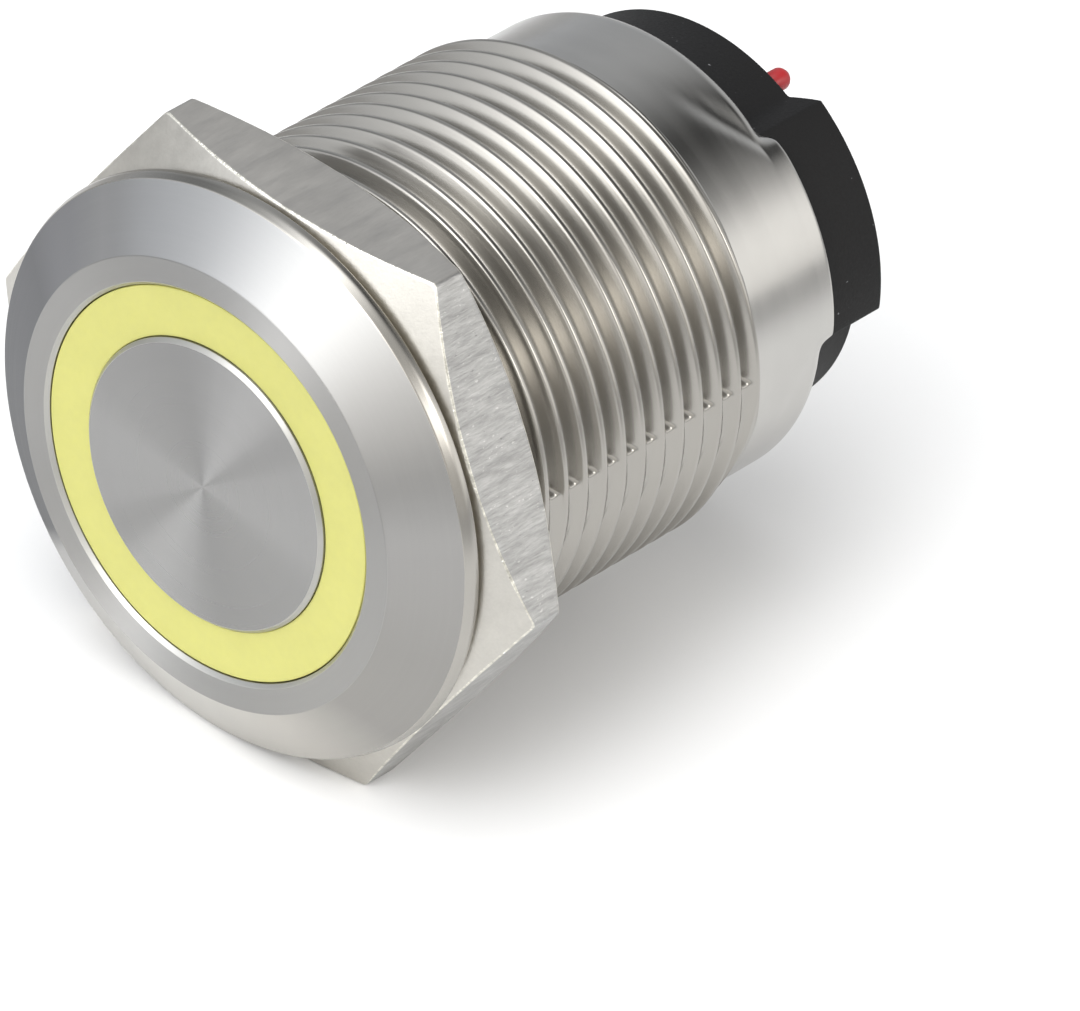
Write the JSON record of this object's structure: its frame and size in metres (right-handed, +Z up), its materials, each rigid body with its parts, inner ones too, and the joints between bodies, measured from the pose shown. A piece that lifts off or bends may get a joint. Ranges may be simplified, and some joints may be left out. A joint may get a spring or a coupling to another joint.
{
  "type": "pushbutton",
  "caption": "Round metal panel pushbutton with a flat sprung button, an illuminated ring, a threaded barrel, a hexagonal lock nut and solder lugs at the rear.",
  "frame": {"origin": "centre of the head's seating plane, where it bears on the panel", "axes": "+Y along the button's axis from the face to the terminals, so the face looks along -Y; +Z up, with one flat of the lock nut facing down"},
  "size_m": [0.0254, 0.0289, 0.022],
  "materials": {
    "stainless": "fine turned, satin",
    "nut_plated": "milled flats, plated",
    "disc_metal": "face turned in fine rings",
    "ring_yellow": "translucent, satin",
    "base_black": "moulded, fine matt",
    "mark_red": "moulded",
    "plunger_white": "translucent moulded",
    "seal_rubber": "smooth",
    "gasket_rubber": "smooth",
    "spring_steel": "drawn wire",
    "case_grey": "moulded",
    "board_green": "solder mask",
    "lamp": "clear resin",
    "chip_black": "fired",
    "copper_alloy": "stamped",
    "contact_silver": "polished",
    "terminal_tin": "tinned, stamped"
  },
  "bodies": {
    "housing": {"body_shell": "stainless", "base": "base_black", "polarity_mark": "mark_red", "base_gasket": "gasket_rubber", "return_spring": "spring_steel", "guide_case": "case_grey", "led_board": "board_green", "leds": "lamp", "led_resistor": "chip_black", "nc_contact_pad": "contact_silver", "no_contact_pad": "contact_silver", "common_terminal": "terminal_tin", "nc_terminal": "terminal_tin", "no_terminal": "terminal_tin", "led_plus_pin": "terminal_tin", "led_minus_pin": "terminal_tin"},
    "button": {"cap_disc": "disc_metal", "light_ring": "ring_yellow", "plunger": "plunger_white", "plunger_seal": "seal_rubber", "moving_contact": "copper_alloy"},
    "nut": {"lock_nut": "nut_plated"}
  },
  "joints": [
    {"name": "button_press", "type": "slide", "parent": "housing", "child": "button", "axis": [0, 1, 0], "range_m": [0, 0.0021], "stiffness_N_per_m": 900, "springref_m": -0.0028, "deforming": ["return_spring"]},
    {"name": "nut_travel", "type": "slide", "parent": "housing", "child": "nut", "axis": [0, 1, 0], "range_m": [0, 0.0125]}
  ]
}
